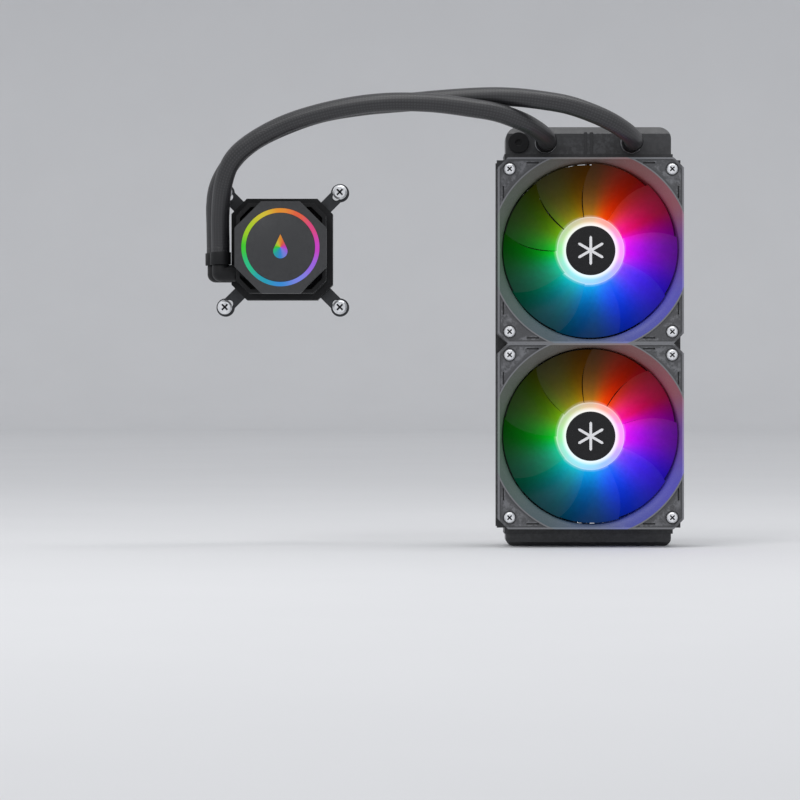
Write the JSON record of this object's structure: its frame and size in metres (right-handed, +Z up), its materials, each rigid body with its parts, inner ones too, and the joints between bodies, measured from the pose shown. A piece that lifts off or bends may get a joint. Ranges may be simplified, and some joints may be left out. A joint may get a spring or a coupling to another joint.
{
  "type": "liquid cooling radiator",
  "caption": "Closed-loop liquid cooler: slim finned radiator with glowing axial fans in a row, braided hoses and an octagonal pump head with a lit ring and copper cold plate",
  "frame": {"origin": "centre of the outer screw pattern on the radiator's back face", "axes": "+X to the right seen from the front of the fans, +Y out of the radiator's back, +Z up towards the tank with the ports"},
  "size_m": [0.3103, 0.096, 0.2942],
  "materials": {
    "fan_plastic": "black moulded plastic",
    "clear_plastic": "milky translucent plastic",
    "black_plastic": "black moulded plastic",
    "cap_black": "black satin cap",
    "black_paint": "black satin paint on aluminium",
    "fin_paint": "black paint on thin aluminium",
    "bare_aluminium": "bare aluminium",
    "steel": "bright steel",
    "bracket_steel": "plated sheet steel",
    "electrical_steel": "stacked electrical steel",
    "copper": "milled copper",
    "copper_wire": "enamelled copper wire",
    "bronze": "sintered bronze",
    "magnet": "bonded ferrite",
    "board": "white printed circuit board",
    "green_board": "green printed circuit board",
    "rubber": "black rubber",
    "braid": "woven black sleeve",
    "cream_plastic": "cream engineering plastic",
    "ceramic": "polished ceramic",
    "cover_plastic": "dark grey matte plastic"
  },
  "bodies": {
    "cooler": {"flat_tubes": "black_paint", "fin_strips": "fin_paint", "upper_header_plate": "black_paint", "lower_header_plate": "black_paint", "upper_tank": "black_paint", "lower_tank": "black_paint", "tank_divider": "bare_aluminium", "left_side_channel": "black_paint", "right_side_channel": "black_paint", "port_stubs": "bare_aluminium", "fill_plug": "black_plastic", "fan_screws": "steel", "front_hose_tube": "rubber", "front_hose_sleeve": "braid", "rear_hose_tube": "rubber", "rear_hose_sleeve": "braid", "radiator_hose_collars": "black_plastic", "rubber_seals": "rubber", "cold_plate": "copper", "cold_plate_screws": "steel", "mounting_bracket": "bracket_steel", "bracket_screws": "steel", "bracket_springs": "steel", "pump_base": "black_plastic", "chamber_plate": "cream_plastic", "pump_shaft": "ceramic", "pump_can": "steel", "pump_stator": "electrical_steel", "pump_coils": "copper_wire", "pump_housing": "black_plastic", "pump_board": "green_board", "pump_light_guide": "clear_plastic", "pump_cover": "cover_plastic", "pump_face_disc": "cover_plastic", "upper_fan_frame": "fan_plastic", "upper_fan_bearing": "bronze", "upper_fan_stator": "electrical_steel", "upper_fan_coils": "copper_wire", "upper_fan_board": "board", "lower_fan_frame": "fan_plastic", "lower_fan_bearing": "bronze", "lower_fan_stator": "electrical_steel", "lower_fan_coils": "copper_wire", "lower_fan_board": "board"},
    "upper_fan_rotor": {"upper_fan_impeller": "clear_plastic", "upper_fan_yoke": "steel", "upper_fan_magnet": "magnet", "upper_fan_shaft": "steel", "upper_fan_cap": "cap_black"},
    "lower_fan_rotor": {"lower_fan_impeller": "clear_plastic", "lower_fan_yoke": "steel", "lower_fan_magnet": "magnet", "lower_fan_shaft": "steel", "lower_fan_cap": "cap_black"},
    "pump_rotor_body": {"pump_rotor": "cream_plastic", "pump_magnet": "magnet"},
    "front_elbow_body": {"front_elbow": "black_plastic", "front_elbow_collar": "black_plastic"},
    "rear_elbow_body": {"rear_elbow": "black_plastic", "rear_elbow_collar": "black_plastic"}
  },
  "joints": [
    {"name": "upper_fan_spin", "type": "hinge", "parent": "cooler", "child": "upper_fan_rotor", "pos_m": [0, -0.04, 0.06], "axis": [0, -1, 0], "continuous": true},
    {"name": "lower_fan_spin", "type": "hinge", "parent": "cooler", "child": "lower_fan_rotor", "pos_m": [0, -0.04, -0.06], "axis": [0, -1, 0], "continuous": true},
    {"name": "pump_spin", "type": "hinge", "parent": "cooler", "child": "pump_rotor_body", "pos_m": [-0.2, -0.036, 0.0615], "axis": [0, -1, 0], "continuous": true},
    {"name": "front_elbow_swivel", "type": "hinge", "parent": "cooler", "child": "front_elbow_body", "pos_m": [-0.2395, -0.043, 0.0455], "axis": [1, 0, 0], "range_deg": [-8, 8], "deforming": ["front_hose_tube", "front_hose_sleeve"]},
    {"name": "rear_elbow_swivel", "type": "hinge", "parent": "cooler", "child": "rear_elbow_body", "pos_m": [-0.2435, -0.027, 0.0455], "axis": [1, 0, 0], "range_deg": [-8, 8], "deforming": ["rear_hose_tube", "rear_hose_sleeve"]}
  ]
}
